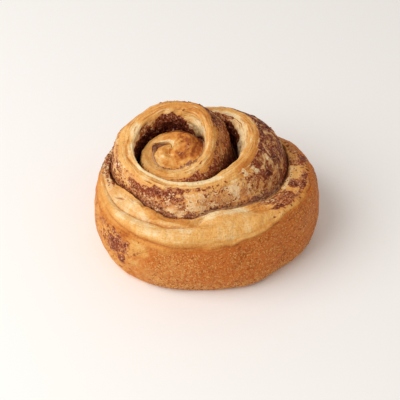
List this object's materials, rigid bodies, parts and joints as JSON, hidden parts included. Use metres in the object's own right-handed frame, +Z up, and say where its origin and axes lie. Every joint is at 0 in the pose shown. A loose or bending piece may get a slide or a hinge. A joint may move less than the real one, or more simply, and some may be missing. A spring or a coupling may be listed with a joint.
{
  "type": "cinnamon roll",
  "caption": "Round baked pastry: a strip of golden dough wound into a spiral that rises to a coiled peak off centre, with dark cinnamon filling between its turns.",
  "frame": {"origin": "under the middle of the roll's box, on the surface that it rests on", "axes": "+Z up; +X to the right and +Y to the back, seen from the picture's side"},
  "size_m": [0.1072, 0.0978, 0.0545],
  "materials": {
    "dough": "baked, satin golden crust with pale cut edges",
    "cinnamon_filling": "dark, moist and grainy"
  },
  "bodies": {
    "root": {"dough": "dough", "cinnamon_filling": "cinnamon_filling"}
  },
  "joints": []
}
